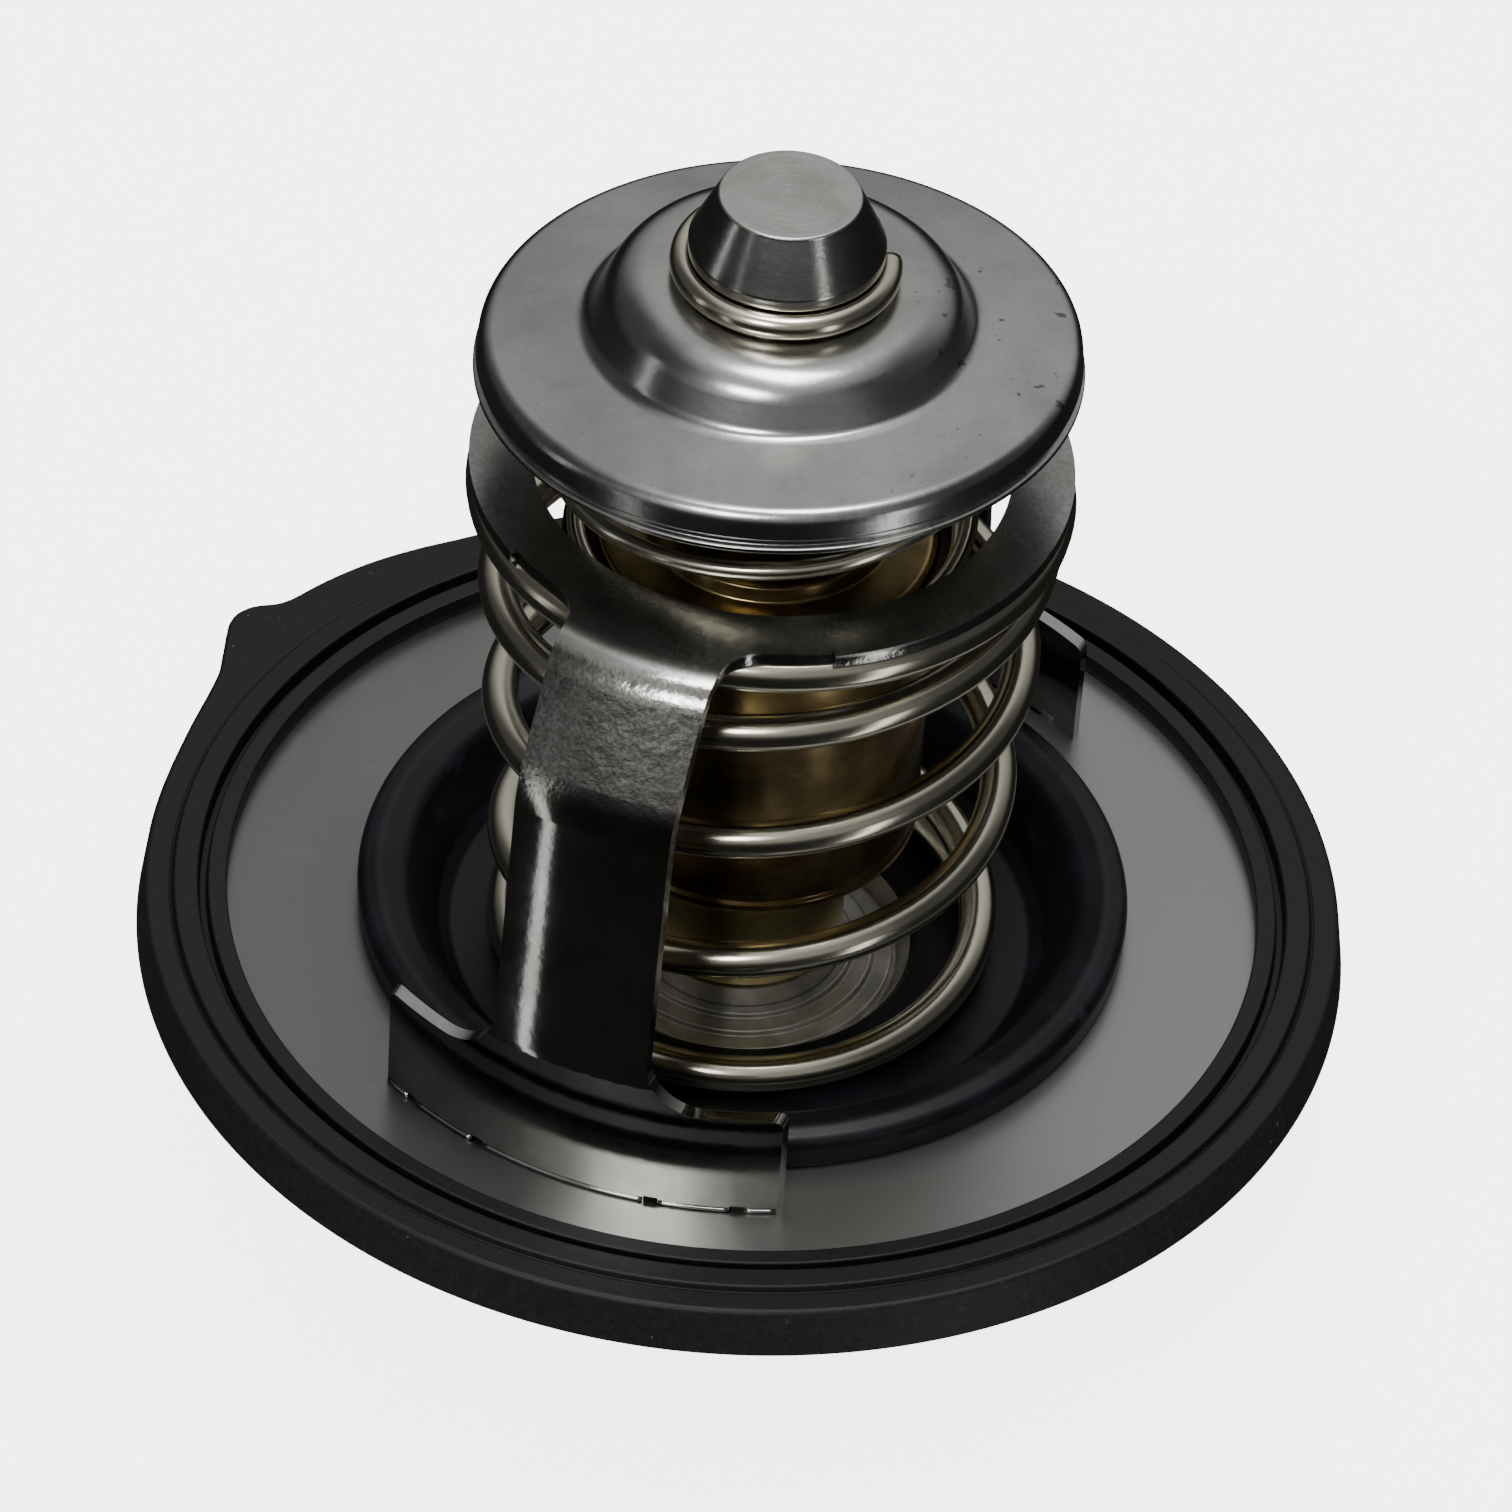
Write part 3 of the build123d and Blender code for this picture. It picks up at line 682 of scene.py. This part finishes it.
brass = brass_finish("aged_brass", colour(0.28, 0.20, 0.10), colour(0.56, 0.43, 0.20), 0.16)
bright_brass = brass_finish("bright_brass", colour(0.70, 0.58, 0.28), colour(0.85, 0.74, 0.42), 0.22)
black_brass = brass_finish("near_black_brass", colour(0.03, 0.025, 0.02), colour(0.07, 0.055, 0.035), 0.35)

# %% [markdown]
# The washer and the valve plate are bare grey steel, dulled by the coolant. Rings
# from the lathe show only as a light bump, and there are no clear reflections.

# %% Grey steel of the washer
dull, shader, start, place = finish("dull_steel", Metallic=1.0)
x, y = parts_of(start, place)[:2]
slow = cloud(start, place, 0.4, 4.0, 0.6)
lathe = cloud_along(start, from_axis(start, x, y) * 4.0)
tone = slow.step(0.35, 0.7).blend(colour(0.50, 0.49, 0.45), colour(0.70, 0.68, 0.63))
feed(start, shader, "Base Color", tone)
feed(start, shader, "Roughness", 0.38 + slow * 0.12)
bumped(start, shader, lathe, 0.00003, 0.3)

# %% [markdown]
# Rubber is almost black, so its look is in its sheen. The gasket is dull, with
# small pits and dusty scuffs that gather on its outer wall. The wall is picked out
# by its distance from the axis.

# %% Gasket rubber
gasket_finish, shader, start, place = finish("gasket_rubber_finish", Specular_IOR_Level=0.36)
x, y = parts_of(start, place)[:2]
slow = cloud(start, place, 0.12, 3.0)
fine = cloud(start, place, 2.6, 4.0, 0.65)
pits = cloud(start, place, 0.8, 4.0, 0.7)
scuffed = cloud(start, place, 0.18, 2.0).step(0.50, 0.62)
dust = cloud(start, place, 2.0, 2.0, 0.5).step(0.68, 0.76) * scuffed
side_wall = from_axis(start, x, y).step(32.7, 32.95)
tone = (fine.step(0.35, 0.75) * 0.5).blend(colour(0.0020, 0.0023, 0.0030), colour(0.0050, 0.0055, 0.0068))
tone = (dust * (0.04 + side_wall * 0.22)).blend(tone, colour(0.20, 0.19, 0.18))
feed(start, shader, "Base Color", tone)
feed(start, shader, "Roughness", 0.40 + slow * 0.12 + fine * 0.1)
bumped(start, shader, fine + pits * (0.2 + side_wall), 0.00005, 0.4)

# %% [markdown]
# The rubber of the valve is smoother and a little blue, with smears where fingers
# and coolant have touched it. The smears are clouds stretched sideways.

# %% Valve rubber
valve_finish, shader, start, place = finish("valve_rubber_finish", Specular_IOR_Level=0.36)
slow = cloud(start, place, 0.2, 4.0, 0.6)
fine = cloud(start, place, 1.5, 3.0)
smear = cloud(start, place, 1.0, 3.0, 0.6, (0.35, 0.35, 1.0)).step(0.60, 0.74)
tone = slow.step(0.4, 0.7).blend(colour(0.0018, 0.0021, 0.0036), colour(0.0045, 0.0052, 0.0085))
tone = (smear * 0.30).blend(tone, colour(0.030, 0.034, 0.042))
feed(start, shader, "Base Color", tone)
feed(start, shader, "Roughness", 0.30 + slow * 0.2)
bumped(start, shader, fine, 0.00003, 0.35)

# %% [markdown]
# Each piece now gets its finish: the new ones made above, and the ready solids
# that stay in view. One table of pairs shows at a glance what is made of what.

# %% Dress every piece
def dress(piece, material):
    piece.data.materials.clear()
    piece.data.materials.append(material)


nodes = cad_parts
dressing = [
    (dome, satin), (stem, turned), (snap, wire), (main_spring, wire), (bypass_spring, wire),
    (gasket, gasket_finish), (valve_skin, valve_finish), (washer, dull), (cup, brass),
    (neck, bright_brass), (nodes["flange_plate"], flange_steel), (nodes["spring_frame"], plated),
    (nodes["piston_bridge"], plated), (nodes["piston"], turned), (nodes["valve_plate"], dull),
    (nodes["bypass_seat"], black_brass), (nodes["piston_seal"], gasket_finish),
    (nodes["element_sleeve"], gasket_finish), (nodes["wax_charge"], brass),
]
dressing += [(burr, plated) for burr in burrs]
for piece, material in dressing:
    dress(piece, material)
print("dressed", len(dressing), "pieces")

# %% [markdown]
# Cut sheet has a fine broken edge that glints. A narrow bevel on the frame, the
# bridge and the flange gives that line of light. It is a modifier, so their solids
# stay as they came.

# %% Break the edges of the sheet
for name, width in (("spring_frame", 0.3), ("piston_bridge", 0.25), ("flange_plate", 0.12)):
    edge = nodes[name].modifiers.new("broken_edge", "BEVEL")
    edge.width = width * MM
    edge.segments = 4
    edge.limit_method = "ANGLE"
    edge.angle_limit = radians(35)
    edge.harden_normals = False
    print(name, "has a bevel of", width, "mm")

# %% [markdown]
# The studio floor is a pale sheet that glows a little, so that it stays white all
# the way to the edge of the view, with only a trace of shadow. Steel doesn't
# mirror it: a white floor in every reflection would wash the metal out. One soft
# light stands above.

# %% Floor and light
floor_reach, floor_level = 3.0, -0.0121
corners = [(-1, -1), (1, -1), (1, 1), (-1, 1)]
floor_mesh = bpy.data.meshes.new("floor")
floor_mesh.from_pydata([(i * floor_reach, j * floor_reach, floor_level) for i, j in corners],
                       [], [(0, 1, 2, 3)])
floor = bpy.data.objects.new("floor", floor_mesh)
bpy.context.collection.objects.link(floor)
floor_finish, shader = finish("floor_finish", Roughness=0.9)[:2]
shader.inputs["Base Color"].default_value = colour(0.95, 0.95, 0.95)
shader.inputs["Emission Color"].default_value = colour(1.0, 1.0, 1.0)
shader.inputs["Emission Strength"].default_value = 4.2
dress(floor, floor_finish)
floor.visible_glossy = False
floor.visible_shadow = False

light = bpy.data.lights.new("overhead", "AREA")
light.shape = "RECTANGLE"
light.size, light.size_y, light.energy = 0.28, 0.24, 3.2
lamp = bpy.data.objects.new("overhead", light)
lamp.location = (0.02, 0.03, 0.80)
aim = Vector((0.0, 0, 0.02)) - lamp.location
lamp.rotation_euler = aim.to_track_quat("-Z", "Y").to_euler()
bpy.context.collection.objects.link(lamp)
print("floor at", floor_level, "m, light of", light.energy, "W")

# %% [markdown]
# Polished steel shows the room around it, so the room is a dim sky with soft
# windows, each placed by the piece that mirrors it. More lamps could do the same,
# but each would have to be set and aimed in space, and a window is only a direction.
# A row gives left and right azimuth, low and high edge, brightness, and how soft the
# sides and the ends are. Angles are in degrees: azimuth 0 is right, and -90 in front.

# %% A room with windows
world = bpy.data.worlds.new("room")
world.use_nodes = True
room = Flow(world.node_tree)
heading = room.add("ShaderNodeTexCoord", out="Generated")
east, north, height = parts_of(room, heading)
azimuth = room.math("ARCTAN2", north, east) * (180 / pi)
raised = room.math("ARCSINE", height) * (180 / pi)


def band_of(value, low_edge, high_edge, soft):
    above = value.step(low_edge - soft, low_edge + soft)
    return above * (1 - value.step(high_edge - soft, high_edge + soft))


def window(left, right, low_edge, high_edge, bright, soft_side, soft_end):
    across = band_of(azimuth, left, right, soft_side)
    return across * band_of(raised, low_edge, high_edge, soft_end) * bright


windows = [
    (40, 118, 12, 75, 0.46, 26, 14),            # the wall behind: disc and flange
    (-150, -40, 16, 64, 0.22, 18, 6),           # the wall in front: dome and leg
    (-122, -101, 39, 53, 22.0, 3, 3),           # glint on the shoulder of the leg
    (-136, -112, 19, 40, 0.24, 7, 8),           # the leg's slope
    (-142.5, -139.5, -60, 8, 1.4, 0.8, 5),      # stripe down the leg
    (-50, -42, -50, 9, 2.5, 1.5, 4),            # right streak on the stem's cone
    (-172, -168, -8, 22, 1.4, 1.2, 4),          # left streak on the stem's cone
]
glow = 0.016 + raised.step(-4, 14) * 0.05 + raised.step(48, 74) * 0.55
for row in windows:
    glow = glow + window(*row)
world.node_tree.links.new(glow.socket, world.node_tree.nodes["Background"].inputs[0])
bpy.context.scene.world = world
print(len(windows), "windows set")

# %% [markdown]
# The camera looks down at 41.5 degrees through a long lens, with a slight roll. It
# is placed by arithmetic and not by hand: from the middle of the part it backs off
# along the line of sight, then moves sideways until the part sits in the frame.

# %% Camera
tilt, roll = radians(41.5), radians(4.0)
distance, focal = 483.5, 8798.0
frame_width = 1512
axis_column, axis_row, axis_height = 742.7, 887.4, 3.3
back = Vector((0, -cos(tilt), sin(tilt)))
right = Vector((1, 0, 0))
up = Vector((0, sin(tilt), cos(tilt)))
side = right * cos(roll) + up * sin(roll)
top = up * cos(roll) - right * sin(roll)
across = (axis_column - frame_width / 2) / focal * distance
rise = -(axis_row - frame_width / 2) / focal * distance
spot = back * distance - side * across - top * rise + Vector((0, 0, axis_height))
lens = bpy.data.cameras.new("view")
lens.sensor_width = 36
lens.lens = focal / frame_width * lens.sensor_width
lens.clip_start, lens.clip_end = 0.01, 20
camera = bpy.data.objects.new("view", lens)
camera.matrix_world = Matrix((
    (side.x, top.x, back.x, spot.x * MM),
    (side.y, top.y, back.y, spot.y * MM),
    (side.z, top.z, back.z, spot.z * MM),
    (0, 0, 0, 1),
))
bpy.context.collection.objects.link(camera)
bpy.context.scene.camera = camera
print("lens", round(lens.lens, 1), "mm")
